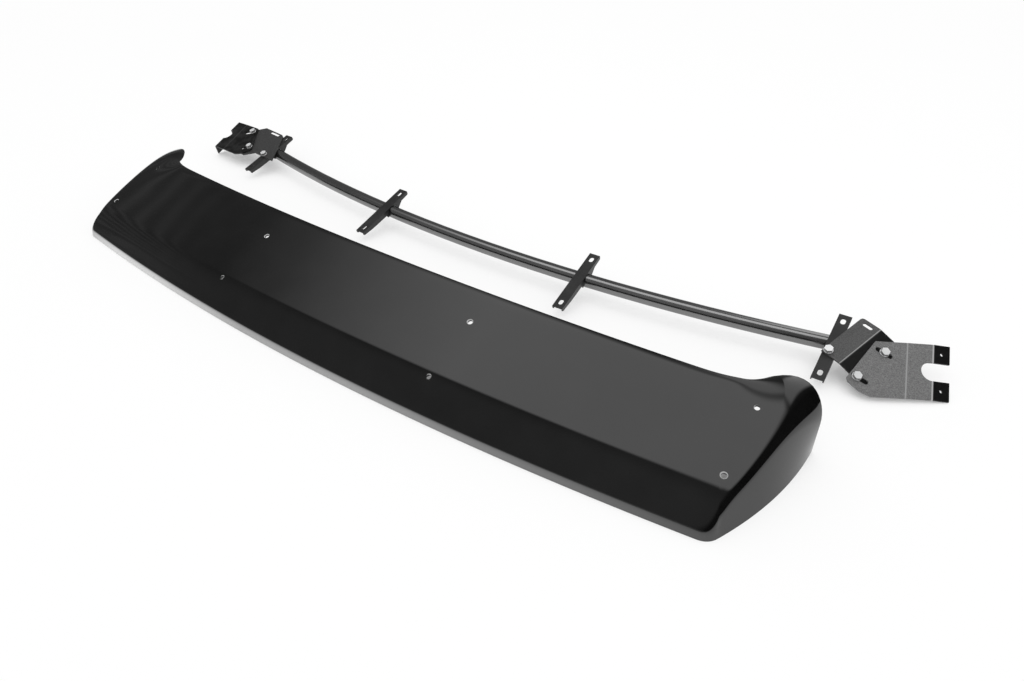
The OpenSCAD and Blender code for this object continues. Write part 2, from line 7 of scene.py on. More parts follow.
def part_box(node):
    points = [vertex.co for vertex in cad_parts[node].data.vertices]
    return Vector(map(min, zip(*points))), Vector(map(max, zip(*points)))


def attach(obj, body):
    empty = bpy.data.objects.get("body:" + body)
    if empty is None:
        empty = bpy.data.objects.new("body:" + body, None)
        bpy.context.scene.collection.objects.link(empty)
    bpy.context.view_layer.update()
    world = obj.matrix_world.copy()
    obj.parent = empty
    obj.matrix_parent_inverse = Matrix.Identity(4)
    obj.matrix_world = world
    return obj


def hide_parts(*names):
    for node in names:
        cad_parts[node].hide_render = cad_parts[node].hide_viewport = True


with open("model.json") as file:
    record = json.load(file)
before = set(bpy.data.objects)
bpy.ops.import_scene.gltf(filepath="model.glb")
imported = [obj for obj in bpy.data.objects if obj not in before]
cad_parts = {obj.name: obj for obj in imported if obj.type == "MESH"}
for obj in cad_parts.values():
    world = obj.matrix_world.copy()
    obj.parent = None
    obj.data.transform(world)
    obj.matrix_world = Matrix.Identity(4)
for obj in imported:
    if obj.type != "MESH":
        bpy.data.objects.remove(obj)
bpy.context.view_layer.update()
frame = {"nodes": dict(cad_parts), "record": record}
nodes = frame["nodes"]
MM = 0.001

# Camera of the photograph, in metres and degrees
CAMERA_AT = Vector((0.8577, -0.9324, 0.8039))
CAMERA_AZIMUTH = 34.93
CAMERA_ELEVATION = 36.62
CAMERA_ROLL = 0.293
CAMERA_LENS = 26.14
SENSOR_WIDTH = 36.0
CAMERA_REACH = 100

# World and lamp
WORLD_LEVEL = 0.97
CEILING_WATTS = 7
CEILING_AT = Vector((0.3, 0.2, 2.4))
CEILING_LENGTH = 2.4
CEILING_WIDTH = 1.6

# Floor, in metres, and how far it glows white where little stands over it
FLOOR_HALF = 30.0
FLOOR_DROP = 0.0002
FLOOR_GLOW = 0.75
SHADOW_REACH = 0.2
SHADOW_SAMPLES = 4
SHADOW_DARK = 0.10
SHADOW_CLEAR = 0.65

# Softbox, in metres, with its levels from its left end to its right end
SOFTBOX_X = (-1.9, 1.1)
SOFTBOX_Y = (-0.30, 0.38)
SOFTBOX_Z = 1.0
SOFTBOX_EDGE = 0.06
SOFTBOX_LEVELS = (
    (0.0, 0.0), (0.14, 0.02), (0.26, 0.22), (0.36, 0.65),
    (0.46, 1.15), (0.56, 1.60), (0.90, 1.60), (1.0, 0.0),
)

# Room that gloss shows; X, Y and Z are parts of a direction, from start to end of a change
WALL_LEVELS = (
    (0.0, 0.08), (0.18, 0.18), (0.35, 0.20), (0.50, 0.22),
    (0.62, 0.10), (0.74, 0.015), (1.0, 0.015),
)
FRONT_WALL_Y = (0.0, -0.5)
FRONT_WALL_GAIN = 0.55
PALE_WALL_X = (-0.16, 0.28)
PALE_WALL_Y = (0.38, 0.48)
PALE_WALL_Z = (0.0, 0.2)
PALE_WALL_EDGE = 0.06
PALE_WALL_LEVEL = 1.25
CURTAIN_X = (-0.80, -0.88)
CURTAIN_FOLDS = 9.0
CURTAIN_WAVES = 4.0
CURTAIN_CREST = (0.45, 0.9)
CURTAIN_LEVEL = 0.14

# Distances in plan from the tab holes of a side plate back to its folds, in metres
RIGHT_MID_FOLD = 0.0567
RIGHT_TAB_FOLD = 0.0134
LEFT_MID_FOLD = 0.0460
LEFT_TAB_FOLD = 0.0025
# Fold of the right corner bracket in plan: distance from its slot, and turn from the X axis
BRACKET_FOLD = 0.0183
BRACKET_FOLD_TURN = 69.06
# Painted highlights along the folds, in metres past the fold: start, end and soft edge
PLATE_PAINTED_HIGHLIGHT = (-0.0012, 0.0012, 0.0008)
TAB_PAINTED_HIGHLIGHT = (-0.0022, 0.0, 0.0006)
BRACKET_PAINTED_HIGHLIGHT = (-0.0006, 0.0008, 0.0004)

# Lip: levels of the painted reflection of the floor on it from left to right, and where that is
# lighter low down
LIP_REFLECTION_LEVELS = (
    (0.0, 0.26), (0.12, 0.49), (0.22, 0.45), (0.40, 0.27),
    (0.56, 0.24), (0.71, 0.15), (0.85, 0.09), (1.0, 0.025),
)
LIP_REFLECTION_LOW_PART = (1.0, 0.4)
LIP_REFLECTION_LOW_GAIN = 0.35
# Start and end of the painted reflection on the lip: millimetres over the lip, and shares of the
# wing's depth
LIP_REFLECTION_OVER_LIP = (1, -3)
LIP_REFLECTION_OF_WING = (1.0, 0.5)
# Painted reflection that lightens the front part of the skirts, from start to end as shares of
# their depth
SKIRT_FRONT = (0.65, 0.1)
SKIRT_PAINTED_REFLECTION = 0.030
# How far a face points up, from 0 to 1, from start to end of a change of tone: where painted
# reflection lightens the skirts, and where painted shade darkens the hole walls and the sides of
# the heads
SKIRT_UP = (0.50, 0.35)
CHAMFER_UP = (0.25, 0.45)
HEAD_UP = (0.45, 0.75)

# Sharp edges of the CAD nodes: welded and rounded, in metres and degrees
WELD_REACH = 0.00002
EDGE_ROUND = 0.0003
CREASE_ANGLE = 35

# Visor shell, in millimetres and degrees as in the CAD source
SHELL_W = 1586
SHELL_D = 221
SKIRT_D = 302
SHEET = 4
EDGE_R = 5500
SKIRT_R = 544
CORNER_RUN = 17
CORNER_PULL = 0.9
CORNER_REACH = 90
REAR_H = 121
PANEL_PITCH = 18.5
CROWN_R = 9000
LIP_H = 15
LIP_DRAFT = 10
FOLD_RUN = 38
FOLD_SOFT = 14
FOLD_OVER = 16
FOLD_LEAST = 0.3
FOLD_MOST = 0.5
SKIRT_DRAFT = 18
LIP_ROUND = 5
CREST_ROUND = 12
CREST_SHARE = 0.8
CREST_SPREAD = 1.4
EAR_ROUND = 60
EAR_W = 103
EAR_REACH = 33
EAR_DROP = 14
DROP_EARLY = 5.4
DROP_LATE = 4.6
EAR_DRAFT = 1
EAR_NECK = 130
EAR_RISE = 16
MARGIN_W = 18
MARGIN_DROP = 1.5

# Screw holes of the shell, in millimetres and degrees
INNER_X = 253
OUTER_X = 715
INNER_BACK = 106
OUTER_BACK = 71
HOLE_GAP = 120
TOE = 1.8
SCREW_HOLE = 8.5
HOLE_CHAMFER = 1.3
HOLE_DEPTH = 6 * SHEET
HOLE_SIDES = 48

# Stations round the rim of one half and rows up one section
N_FRONT = 70
N_CORNER = 20
N_SKIRT = 40
N_HALF = N_FRONT + N_CORNER + N_SKIRT
N_WALL = 5
N_CREST = 14
N_FOLD = 20
N_PANEL = 20

# Steps that close in on where two lines of the shell meet
MEETING_STEPS = 8
CREST_STEPS = 12


def new_mesh(name, verts, faces):
    mesh = bpy.data.meshes.new(name)
    mesh.from_pydata(verts, [], faces)
    mesh.update()
    return mesh


def add_object(name, data):
    obj = bpy.data.objects.new(name, data)
    bpy.context.scene.collection.objects.link(obj)
    return obj


def mix(a, b, t):
    return a + (b - a) * t


def tan_deg(angle):
    return math.tan(math.radians(angle))


def clamp01(t):
    return min(1.0, max(0.0, t))


def bezier(a, b, c, t):
    return a * (1 - t) ** 2 + b * (2 * t * (1 - t)) + c * t * t


# Outline of the shell from above, right half, front edge at y = 0 in the middle
HALF_W = SHELL_W / 2


def front_y(x):
    return x * x / (2 * EDGE_R)


def skirt_x(y):
    return HALF_W - (SKIRT_D - y) ** 2 / (2 * SKIRT_R)


def meeting_x():
    """Where the arcs of the front edge and of the skirt meet, closed in on step by step."""
    x = HALF_W
    for _ in range(MEETING_STEPS):
        x = skirt_x(front_y(x))
    return x


CORNER_X = meeting_x()
FRONT_END = CORNER_X - CORNER_RUN
SKIRT_START = front_y(CORNER_X) + CORNER_RUN * CORNER_PULL
SKIRT_LEAN = (SKIRT_D - SKIRT_START) / SKIRT_R
FRONT_LEAN = FRONT_END / EDGE_R
CORNER_A = Vector((FRONT_END, front_y(FRONT_END)))
CORNER_C = Vector((skirt_x(SKIRT_START), SKIRT_START))
CORNER_K = (CORNER_C.y - CORNER_A.y - FRONT_LEAN * (CORNER_C.x - CORNER_A.x)) / (
    1 - FRONT_LEAN * SKIRT_LEAN
)
CORNER_B = CORNER_C - CORNER_K * Vector((SKIRT_LEAN, 1))


def corner_part(k):
    """Share of the way round the corner at station k."""
    return clamp01((k - N_FRONT) / N_CORNER)


def skirt_part(k):
    """Share of the way along the skirt at station k."""
    return max(0.0, (k - N_FRONT - N_CORNER) / N_SKIRT)


def side_part(k):
    """0 to 1 past the end of the front edge, at the pace of the CAD source's stations."""
    corner_share = 1 / 3
    return corner_part(k) * corner_share + skirt_part(k) * (1 - corner_share)


def foot(k):
    """Foot of the outer face in plan at station k."""
    if k <= N_FRONT:
        x = FRONT_END * k / N_FRONT
        return Vector((x, front_y(x)))
    if k <= N_FRONT + N_CORNER:
        return bezier(CORNER_A, CORNER_B, CORNER_C, corner_part(k))
    y = mix(SKIRT_START, SKIRT_D, skirt_part(k))
    return Vector((skirt_x(y), y))


# Rear edge, with the necks that run up into the ears
NECK_X = HALF_W - EAR_W
REAR_END = NECK_X - CORNER_REACH


def rear_y(x):
    return SHELL_D + front_y(x) + EAR_RISE * (max(0, x - NECK_X + EAR_NECK) / EAR_NECK) ** 6


def rear(k):
    """Rear edge in plan at station k."""
    x = REAR_END * k / N_FRONT if k <= N_FRONT else mix(REAR_END, NECK_X, side_part(k))
    return Vector((x, rear_y(x)))


def plan(k, s):
    """Line in plan from the foot to the rear edge at station k, s from 0 to 1."""
    p = mix(foot(k), rear(k), s)
    return p + Vector((0, 4 * s * (1 - s) * EAR_REACH * side_part(k) ** 4))


# Height of the top surface: main panel, steep front strip and the soft fold between
LIP_IN = LIP_H * tan_deg(LIP_DRAFT)


def panel_z(x, y):
    return REAR_H + (y - SHELL_D) * tan_deg(PANEL_PITCH) - x * x / (2 * CROWN_R)


def strip_z(x, y):
    fold_z = panel_z(x, FOLD_RUN + front_y(x))
    return LIP_H + (y - front_y(x) - LIP_IN) * (fold_z - LIP_H) / (FOLD_RUN - LIP_IN)


def top_z(p):
    panel = panel_z(p.x, p.y)
    strip = strip_z(p.x, p.y)
    return min(panel, strip) - max(FOLD_SOFT - abs(panel - strip), 0) ** 2 / (4 * FOLD_SOFT)


def skin_z(k, s):
    drop = EAR_DROP * side_part(k) ** 6 * s * s * (DROP_EARLY - DROP_LATE * s)
    return top_z(plan(k, s)) - drop


def lean(k):
    """Lean of the wall at station k, in degrees."""
    at_corner = mix(LIP_DRAFT, SKIRT_DRAFT, corner_part(k))
    return mix(at_corner, EAR_DRAFT, skirt_part(k) ** 3)


def round_of(k):
    """Rounding over the wall at station k."""
    at_corner = mix(LIP_ROUND, CREST_ROUND, corner_part(k))
    return mix(at_corner, EAR_ROUND, skirt_part(k) ** 4)


def inward(k):
    """How squarely the section at station k runs away from the foot line."""
    least = 0.6
    along = (foot(min(N_HALF, k + 1)) - foot(max(0, k - 1))).normalized()
    across = (rear(k) - foot(k)).normalized()
    return max(least, across.dot(Vector((-along.y, along.x))))


def section(k):
    """Outer face at station k, from the floor to the rear edge."""
    length = (rear(k) - foot(k)).length
    slope = tan_deg(lean(k)) / inward(k)

    def height(run):
        return skin_z(k, run / length)

    def point(run, z):
        p = plan(k, run / length)
        return Vector((p.x, p.y, z))

    crest = LIP_IN
    for _ in range(CREST_STEPS):
        crest = height(crest) * slope
    crest_z = height(crest)
    r = round_of(k)
    wall_z = crest_z - min(r, CREST_SHARE * crest_z) * math.cos(math.radians(lean(k)))
    start = crest + r * mix(1, CREST_SPREAD, skirt_part(k) ** 2)
    a = Vector((wall_z * slope, wall_z))
    b = Vector((start, height(start)))
    c = Vector((crest, crest_z))
    fold_end = min(FOLD_RUN + FOLD_OVER, length * FOLD_MOST)
    fold_end = max(start + (length - start) * FOLD_LEAST, fold_end)
    line = [point(a.x * j / N_WALL, wall_z * j / N_WALL) for j in range(N_WALL)]
    for j in range(N_CREST):
        q = bezier(a, c, b, j / N_CREST)
        line.append(point(q.x, q.y))
    for j in range(N_FOLD):
        run = mix(start, fold_end, j / N_FOLD)
        line.append(point(run, height(run)))
    for j in range(N_PANEL + 1):
        run = mix(fold_end, length, j / N_PANEL)
        margin = max(0, 1 - (length - run) / MARGIN_W) * (1 - side_part(k) ** 4)
        line.append(point(run, height(run) - MARGIN_DROP * margin * margin))
    return line


def outer_face():
    """Sections of the outer face from the left end to the right end."""
    half = [section(k) for k in range(N_HALF + 1)]
    lines = []
    for i in range(-N_HALF, N_HALF + 1):
        side = -1 if i < 0 else 1
        lines.append([Vector((side * p.x, p.y, p.z)) for p in half[abs(i)]])
    return lines


def inner_face(outer):
    """The outer face moved in by the thickness of the sheet, with its foot on the floor."""
    last_i = len(outer) - 1
    last_j = len(outer[0]) - 1

    def normal(i, j):
        along = outer[min(last_i, i + 1)][j] - outer[max(0, i - 1)][j]
        rise = outer[i][min(last_j, j + 1)] - outer[i][max(0, j - 1)]
        return along.cross(rise).normalized()

    lines = []
    for i in range(last_i + 1):
        lines.append([outer[i][j] - SHEET * normal(i, j) for j in range(last_j + 1)])
    for line in lines:
        line[0].z = 0
    return lines


def shell_mesh():
    """Outer and inner face of the shell and the rims between, in metres."""
    outer = outer_face()
    inner = inner_face(outer)
    verts = [p * MM for line in outer + inner for p in line]
    rows = len(outer[0])
    last_i = len(outer) - 1
    last_j = rows - 1

    def out_at(i, j):
        return i * rows + j

    def in_at(i, j):
        return (last_i + 1) * rows + i * rows + j

    faces = []
    for i in range(last_i):
        for j in range(last_j):
            faces.append((out_at(i, j), out_at(i + 1, j), out_at(i + 1, j + 1), out_at(i, j + 1)))
            faces.append((in_at(i, j), in_at(i, j + 1), in_at(i + 1, j + 1), in_at(i + 1, j)))
        faces.append((out_at(i, 0), in_at(i, 0), in_at(i + 1, 0), out_at(i + 1, 0)))
        faces.append(
            (out_at(i, last_j), out_at(i + 1, last_j), in_at(i + 1, last_j), in_at(i, last_j))
        )
    for j in range(last_j):
        faces.append((out_at(0, j), out_at(0, j + 1), in_at(0, j + 1), in_at(0, j)))
        faces.append(
            (out_at(last_i, j), in_at(last_i, j), in_at(last_i, j + 1), out_at(last_i, j + 1))
        )
    return new_mesh("visor_skin", verts, faces)


def turned(radii_heights, sides):
    """Points and faces of a closed turned body, from its lowest ring to its highest."""
    verts = []
    faces = []
    for r, z in radii_heights:
        for s in range(sides):
            a = 2 * math.pi * s / sides
            verts.append(Vector((r * math.cos(a), r * math.sin(a), z)))
    for level in range(len(radii_heights) - 1):
        low = level * sides
        high = low + sides
        for s in range(sides):
            t = (s + 1) % sides
            faces.append((low + s, low + t, high + t, high + s))
    faces.append(tuple(reversed(range(sides))))
    faces.append(tuple(range(len(verts) - sides, len(verts))))
    return verts, faces


def hole_places():
    """Places of the eight screw holes, square to the panel, in millimetres."""
    pitch = Matrix.Rotation(math.radians(PANEL_PITCH), 4, "X")
    pairs = ((-OUTER_X, OUTER_BACK), (-INNER_X, 0), (INNER_X, 0), (OUTER_X, OUTER_BACK))
    places = []
    for x, back in pairs:
        y = INNER_BACK + back
        turn = Matrix.Rotation(math.radians(TOE if x > 0 else -TOE), 4, "Z")
        pair = Matrix.Translation((x, y, panel_z(x, y))) @ turn @ pitch
        for side in (-1, 1):
            p = pair @ Vector((0, side * HOLE_GAP / 2, 0))
            places.append(Matrix.Translation((p.x, p.y, panel_z(p.x, p.y))) @ turn @ pitch)
    return places


def cut_screw_holes(skin, rim):
    """Cuts the eight screw holes with a small chamfer of bare plastic on the outside."""
    r = SCREW_HOLE / 2
    profile = ((r, -HOLE_DEPTH), (r, -HOLE_CHAMFER), (r + 3 * HOLE_CHAMFER, 2 * HOLE_CHAMFER))
    hole, hole_faces = turned(profile, HOLE_SIDES)
    verts = []
    faces = []
    for place in hole_places():
        start = len(verts)
        verts += [(place @ v) * MM for v in hole]
        faces += [tuple(start + i for i in face) for face in hole_faces]
    cutter = add_object("hole_cutter", new_mesh("hole_cutter", verts, faces))
    cutter.data.materials.append(rim)
    cut = skin.modifiers.new("holes", "BOOLEAN")
    cut.material_mode = "TRANSFER"
    cut.object = cutter
    cut.operation = "DIFFERENCE"
    cut.solver = "EXACT"
    graph = bpy.context.evaluated_depsgraph_get()
    result = bpy.data.meshes.new_from_object(skin.evaluated_get(graph))
    skin.modifiers.clear()
    skin.data = result
    bpy.data.objects.remove(cutter)


def smooth_by_angle(obj):
    bpy.context.view_layer.objects.active = obj
    for other in bpy.context.selected_objects:
        other.select_set(False)
    obj.select_set(True)
    bpy.ops.object.shade_smooth_by_angle(angle=math.radians(CREASE_ANGLE))
    obj.select_set(False)


# Helpers for node materials; a value is a number or a socket
def new_material(name):
    mat = bpy.data.materials.new(name)
    mat.use_nodes = True
    tree = mat.node_tree
    return mat, tree, tree.nodes["Principled BSDF"]


def math_node(tree, operation, first, second):
    node = tree.nodes.new("ShaderNodeMath")
    node.operation = operation
    for socket, value in zip(node.inputs, (first, second)):
        if isinstance(value, (int, float)):
            socket.default_value = value
        else:
            tree.links.new(value, socket)
    return node.outputs["Value"]


def times(tree, first, second):
    return math_node(tree, "MULTIPLY", first, second)


def plus(tree, first, second):
    return math_node(tree, "ADD", first, second)


def minus(tree, first, second):
    return math_node(tree, "SUBTRACT", first, second)


def share_between(tree, value, low, high):
    """Share of the way of a value from low to high."""
    return math_node(tree, "DIVIDE", minus(tree, value, low), high - low)


def edge(tree, value, start, end):
    """0 before start and 1 after end, with a soft step between. The ends may be swapped."""
    node = tree.nodes.new("ShaderNodeMapRange")
    node.interpolation_type = "SMOOTHSTEP"
    node.inputs["From Min"].default_value = start
    node.inputs["From Max"].default_value = end
    tree.links.new(value, node.inputs["Value"])
    return node.outputs["Result"]


def inside(tree, value, low, high, soft):
    """1 between low and high, with a soft step round each."""
    rise = edge(tree, value, low - soft, low + soft)
    fall = edge(tree, value, high + soft, high - soft)
    return times(tree, rise, fall)


def coordinates(tree, kind):
    """Object is the place in metres, since each piece keeps its place in its vertices."""
    return tree.nodes.new("ShaderNodeTexCoord").outputs[kind]


def split(tree, vector):
    node = tree.nodes.new("ShaderNodeSeparateXYZ")
    tree.links.new(vector, node.inputs["Vector"])
    return [node.outputs[axis] for axis in "XYZ"]


def noise(tree, scale, detail=3.0, rough=0.5):
    node = tree.nodes.new("ShaderNodeTexNoise")
    node.inputs["Scale"].default_value = scale
    node.inputs["Detail"].default_value = detail
    node.inputs["Roughness"].default_value = rough
    tree.links.new(coordinates(tree, "Object"), node.inputs["Vector"])
    return node.outputs["Fac"]


def grey(level):
    return (level, level, level)


def ramp(tree, value, stops):
    """Colours by value; a stop is a place and a colour or a grey level."""
    node = tree.nodes.new("ShaderNodeValToRGB")
    stops = [(place, c if isinstance(c, tuple) else grey(c)) for place, c in stops]
    elements = node.color_ramp.elements
    elements[0].position, elements[1].position = stops[0][0], stops[-1][0]
    elements[0].color, elements[1].color = (*stops[0][1], 1), (*stops[-1][1], 1)
    for place, colour in stops[1:-1]:
        elements.new(place).color = (*colour, 1)
    tree.links.new(value, node.inputs["Fac"])
    return node.outputs["Color"]


def bump(tree, shader, value, strength, distance):
    node = tree.nodes.new("ShaderNodeBump")
    node.inputs["Strength"].default_value = strength
    node.inputs["Distance"].default_value = distance
    tree.links.new(value, node.inputs["Height"])
    tree.links.new(node.outputs["Normal"], shader.inputs["Normal"])


def mix_tone(tree, share, first, second):
    """The first tone where the share is 0 and the second where it is 1."""
    node = tree.nodes.new("ShaderNodeMix")
    node.data_type = "RGBA"
    a, b = [i for i in node.inputs if i.type == "RGBA"]
    tree.links.new(share, node.inputs["Factor"])
    for socket, value in ((a, first), (b, second)):
        if isinstance(value, tuple):
            socket.default_value = (*value, 1)
        else:
            tree.links.new(value, socket)
    return [o for o in node.outputs if o.type == "RGBA"][0]


def upward(tree, start, end):
    """0 where the face points up less than start, 1 where it points up more than end."""
    return edge(tree, split(tree, coordinates(tree, "Normal"))[2], start, end)


def past_line(tree, place, across):
    """Distance of the surface past a line through a place, along a level direction."""
    dot = tree.nodes.new("ShaderNodeVectorMath")
    dot.operation = "DOT_PRODUCT"
    dot.inputs[1].default_value = across
    tree.links.new(coordinates(tree, "Object"), dot.inputs[0])
    return minus(tree, dot.outputs["Value"], place.dot(across))


def mount_place(name):
    """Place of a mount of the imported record, in metres."""
    mount = next(m for m in frame["record"]["mounts"] if m["name"] == name)
    return Vector(mount["pos_m"])


def past_plate_fold(tree, side, before_holes):
    """Distance in plan past a fold of a side plate, which runs along its two tab holes."""
    front = mount_place(side + "_tab_front_hole")
    rear_hole = mount_place(side + "_tab_rear_hole")
    along = rear_hole - front
    across = Vector((along.y, -along.x, 0)).normalized()
    if side == "left":
        across = -across
    return past_line(tree, front - across * before_holes, across)


def past_bracket_fold(tree):
    """Distance in plan past the fold of the right corner bracket."""
    turn = math.radians(BRACKET_FOLD_TURN)
    across = Vector((math.sin(turn), -math.cos(turn), 0))
    return past_line(tree, mount_place("right_bracket_slot") + across * BRACKET_FOLD, across)


# Materials
def lip_painted_reflection(tree, x, z):
    """Painted reflection of the floor on the lip, which changes along the shell and is lighter
    low down.
    """
    low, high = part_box("visor_shell")
    tone = ramp(tree, share_between(tree, x, low.x, high.x), LIP_REFLECTION_LEVELS)
    low_part = edge(tree, z, *(share * LIP_H * MM for share in LIP_REFLECTION_LOW_PART))
    lighter = tree.nodes.new("ShaderNodeVectorMath")
    lighter.operation = "SCALE"
    tree.links.new(tone, lighter.inputs[0])
    gain = plus(tree, 1.0, times(tree, low_part, LIP_REFLECTION_LOW_GAIN))
    tree.links.new(gain, lighter.inputs["Scale"])
    return lighter.outputs["Vector"]


def gloss_black():
    """Gloss black plastic, with a painted reflection of the floor along the front lip and a
    lighter painted reflection on the steep front of the skirts.
    """
    mat, tree, shader = new_material("gloss_black")
    x, y, z = split(tree, coordinates(tree, "Object"))
    front_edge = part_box("visor_shell")[0].y
    wing = (SKIRT_D - SHELL_D) * MM
    skirt = SKIRT_D * MM
    # Painted reflection of the floor: low on the lip and towards its front
    reflection_low = edge(tree, z, *((LIP_H + over) * MM for over in LIP_REFLECTION_OVER_LIP))
    reflection_front = edge(tree, y, *(front_edge + share * wing for share in LIP_REFLECTION_OF_WING))
    reflection_share = times(tree, reflection_low, reflection_front)
    # Painted reflection: steep faces on the front part of the skirts are lighter
    steep = upward(tree, *SKIRT_UP)
    skirt_front = edge(tree, y, *(front_edge + share * skirt for share in SKIRT_FRONT))
    black = ramp(tree, noise(tree, 18), ((0.3, 0.002), (0.7, 0.004)))
    black = mix_tone(tree, times(tree, steep, skirt_front), black, grey(SKIRT_PAINTED_REFLECTION))
    tone = mix_tone(tree, reflection_share, black, lip_painted_reflection(tree, x, z))
    tree.links.new(tone, shader.inputs["Base Color"])
    shader.inputs["Roughness"].default_value = 0.07
    shader.inputs["IOR"].default_value = 1.5
    bump(tree, shader, noise(tree, 9), strength=0.02, distance=0.002)
    return mat


def bare_plastic_and_hole_shade():
    """Rims of the screw holes: a light drilled chamfer of bare plastic over a wall darkened with
    painted shade.
    """
    mat, tree, shader = new_material("bare_plastic_and_hole_shade")
    light = ramp(tree, noise(tree, 200), ((0.3, 0.40), (0.7, 0.55)))
    # Painted shade: faces that point up little, the walls down in the holes, are dark
    tone = mix_tone(tree, upward(tree, *CHAMFER_UP), grey(0.03), light)
    tree.links.new(tone, shader.inputs["Base Color"])
    shader.inputs["Roughness"].default_value = 0.5
    return mat


def painted(name, low, high, roughness, ior, grain, strength, distance):
    """A paint whose tone varies softly between two levels and whose face has a fine grain."""
    mat, tree, shader = new_material(name)
    tone = ramp(tree, noise(tree, 18), ((0.3, low), (0.7, high)))
    tree.links.new(tone, shader.inputs["Base Color"])
    shader.inputs["Roughness"].default_value = roughness
    shader.inputs["IOR"].default_value = ior
    bump(tree, shader, noise(tree, grain, 2.0), strength, distance)
    return mat


def tube_black():
    return painted(
        "tube_black", low=0.010, high=0.020, roughness=0.16, ior=2.6,
        grain=600, strength=0.06, distance=0.0003,
    )


def strap_black():
    return painted(
        "strap_black", low=0.013, high=0.029, roughness=0.36, ior=1.42,
        grain=700, strength=0.25, distance=0.0004,
    )


def sheet_paint(name, low, high, roughness, ior):
    """Sheet with a sandy powder coat; returns the tone too, for marks to be mixed in."""
    mat, tree, shader = new_material(name)
    grain = noise(tree, 520, 2.0, 0.6)
    tone = ramp(tree, grain, ((0.36, low), (0.64, high)))
    shader.inputs["Roughness"].default_value = roughness
    shader.inputs["IOR"].default_value = ior
    bump(tree, shader, noise(tree, 900, 2.0), strength=0.5, distance=0.0005)
    return mat, tree, shader, tone


def left_bracket_black():
    mat, tree, shader, tone = sheet_paint(
        "left_bracket_black", low=0.026, high=0.062, roughness=0.4, ior=1.5
    )
    tree.links.new(tone, shader.inputs["Base Color"])
    return mat


def right_bracket_painted_light():
    """A lighter black than the left one as painted reflection, with a painted highlight along the
    fold and painted shade on the lower flange.
    """
    mat, tree, shader, tone = sheet_paint(
        "right_bracket_painted_light", low=0.045, high=0.085, roughness=0.4, ior=1.5
    )
    past = past_bracket_fold(tree)
    # Painted shade: the lower flange, past the fold, is near black
    tone = mix_tone(tree, edge(tree, past, 0.0, 0.003), tone, grey(0.001))
    # Painted highlight along the fold
    tone = mix_tone(tree, inside(tree, past, *BRACKET_PAINTED_HIGHLIGHT), tone, grey(0.30))
    tree.links.new(tone, shader.inputs["Base Color"])
    return mat


def right_plate_painted_light():
    """Sandy sheet whose grey is painted reflection, with painted highlights along both folds and
    painted shade on the tabs.
    """
    # The grey tone of this sheet is painted reflection
    mat, tree, shader, tone = sheet_paint(
        "right_plate_painted_light", low=0.11, high=0.21, roughness=0.5, ior=1.5
    )
    mid = past_plate_fold(tree, "right", RIGHT_MID_FOLD)
    tab = past_plate_fold(tree, "right", RIGHT_TAB_FOLD)
    # Painted highlight along the middle fold
    tone = mix_tone(tree, inside(tree, mid, *PLATE_PAINTED_HIGHLIGHT), tone, grey(0.30))
    # Painted shade: the tabs past their fold are near black
    tone = mix_tone(tree, edge(tree, tab, 0.0, 0.0010), tone, grey(0.0005))
    # Painted highlight along the tab fold
    tone = mix_tone(tree, inside(tree, tab, *TAB_PAINTED_HIGHLIGHT), tone, grey(0.42))
    tree.links.new(tone, shader.inputs["Base Color"])
    return mat


def left_plate_black():
    """The same sheet painted black and blotchy, with a painted highlight along its first fold and
    tabs darkened with painted shade.
    """
    mat, tree, shader, tone = sheet_paint(
        "left_plate_black", low=0.002, high=0.026, roughness=0.45, ior=1.4
    )
    blotch = edge(tree, noise(tree, 55, 2.0), 0.42, 0.58)
    mid = past_plate_fold(tree, "left", LEFT_MID_FOLD)
    tab = past_plate_fold(tree, "left", LEFT_TAB_FOLD)
    tone = mix_tone(tree, blotch, tone, grey(0.001))
    # Painted highlight along the first fold
    tone = mix_tone(tree, inside(tree, mid, *PLATE_PAINTED_HIGHLIGHT), tone, grey(0.06))
    # Painted shade: the tabs past their fold are a flat dark tone
    tone = mix_tone(tree, edge(tree, tab, 0.0, 0.002), tone, grey(0.006))
    tree.links.new(tone, shader.inputs["Base Color"])
    return mat


def zinc():
    """Plated steel, pale, with painted shade darkening the sides of the heads."""
    mat, tree, shader = new_material("zinc")
    pale = ramp(tree, noise(tree, 60), ((0.3, (0.82, 0.83, 0.84)), (0.7, (0.96, 0.96, 0.96))))
    # Painted shade: faces that point up little are dark grey
    tone = mix_tone(tree, upward(tree, *HEAD_UP), grey(0.22), pale)
    tree.links.new(tone, shader.inputs["Base Color"])
    shader.inputs["Metallic"].default_value = 0.35
    shader.inputs["Roughness"].default_value = 0.35
    bump(tree, shader, noise(tree, 400, 2.0), strength=0.15, distance=0.0002)
    return mat


# The object
def place_shell():
    """The shell with a finer mesh and round holes, in the place of its CAD node."""
    skin = add_object("visor_skin", shell_mesh())
    skin.data.materials.append(gloss_black())
    cut_screw_holes(skin, bare_plastic_and_hole_shade())
    low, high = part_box("visor_shell")
    shift = Vector(((low.x + high.x) / 2, low.y, 0))
    skin.data.transform(Matrix.Translation(shift))
    smooth_by_angle(skin)
    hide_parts("visor_shell")
    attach(skin, "root")


def paint_node(name, mat):
    mesh_slots = nodes[name].data.materials
    if len(mesh_slots) == 0:
        mesh_slots.append(mat)
    for i in range(len(mesh_slots)):
        mesh_slots[i] = mat


def soften(name):
    """Rounds the sharp edges of a CAD node by a modifier."""
    obj = nodes[name]
    weld = obj.modifiers.new("weld", "WELD")
    weld.merge_threshold = WELD_REACH
    bevel = obj.modifiers.new("bevel", "BEVEL")
    bevel.width = EDGE_ROUND
    bevel.segments = 2
    bevel.limit_method = "ANGLE"
    bevel.angle_limit = math.radians(CREASE_ANGLE)
    bevel.harden_normals = True


